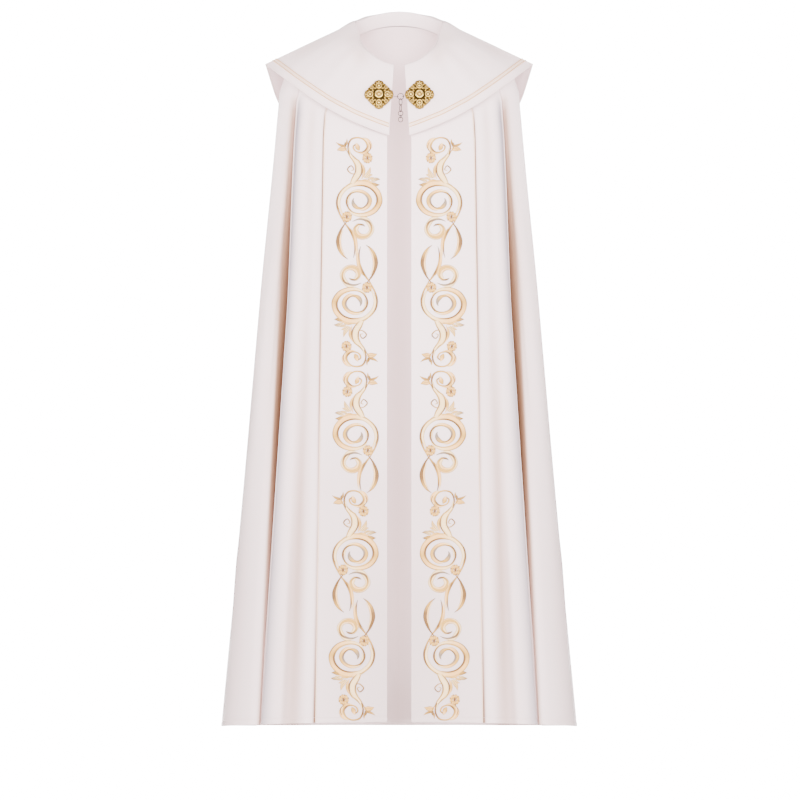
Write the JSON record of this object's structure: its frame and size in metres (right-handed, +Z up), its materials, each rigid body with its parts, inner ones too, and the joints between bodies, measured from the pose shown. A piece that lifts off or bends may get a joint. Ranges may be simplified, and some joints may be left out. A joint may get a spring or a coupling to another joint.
{
  "type": "cope vestment",
  "caption": "Floor-length open cape worn by clergy: embroidered front bands, wide turned-down collar with hood back, and a cast clasp at the chest.",
  "frame": {"origin": "midpoint between the shoulders at the height of the neck base, where the wearer holds the garment up", "axes": "+Z up; the front of the garment faces -Y; +X is the wearer's left"},
  "size_m": [0.7384, 0.4496, 1.5001],
  "materials": {
    "rose_satin": "pale rose-champagne satin, soft sheen",
    "gold_cord": "fine gold piping",
    "gold_braid": "narrow double gold braid",
    "cast_brass": "cast relief, polished high spots, dark recesses",
    "plated_wire": "pale gold plated wire"
  },
  "bodies": {
    "cope": {"mantle_left": "rose_satin", "mantle_right": "rose_satin", "orphrey_left": "rose_satin", "orphrey_right": "rose_satin", "piping_left": "gold_cord", "piping_right": "gold_cord", "collar": "rose_satin", "collar_braid": "gold_braid", "neck_stand": "rose_satin", "clasp_plate_left": "cast_brass", "clasp_plate_right": "cast_brass", "clasp_boss_left": "cast_brass", "clasp_boss_right": "cast_brass", "clasp_hook": "plated_wire", "clasp_eye": "plated_wire", "clasp_ring": "plated_wire"},
    "tail_link_1": {"tail_link_1": "plated_wire"},
    "tail_link_2": {"tail_link_2": "plated_wire"},
    "tail_ring_3": {"tail_ring_3": "plated_wire"},
    "tail_link_4": {"tail_link_4": "plated_wire"},
    "tail_ring_5": {"tail_ring_5": "plated_wire"}
  },
  "joints": [
    {"name": "link_1_swing", "type": "hinge", "parent": "cope", "child": "tail_link_1", "pos_m": [0.003, -0.14136, -0.1468], "axis": [1, 0, 0], "range_deg": [-30, 30]},
    {"name": "link_2_swing", "type": "hinge", "parent": "tail_link_1", "child": "tail_link_2", "pos_m": [0.003, -0.14136, -0.159], "axis": [0.7071, 0.7071, 0], "range_deg": [-18, 30]},
    {"name": "ring_3_swing", "type": "hinge", "parent": "tail_link_2", "child": "tail_ring_3", "pos_m": [0.003, -0.14136, -0.1726], "axis": [-0.5, 0.866, 0], "range_deg": [-20, 30]},
    {"name": "link_4_swing", "type": "hinge", "parent": "tail_ring_3", "child": "tail_link_4", "pos_m": [0.003, -0.14136, -0.1808], "axis": [0.9659, 0.2588, 0], "range_deg": [-30, 30]},
    {"name": "ring_5_swing", "type": "hinge", "parent": "tail_link_4", "child": "tail_ring_5", "pos_m": [0.003, -0.14136, -0.1854], "axis": [-0.4226, 0.9063, 0], "range_deg": [-30, 30]}
  ]
}
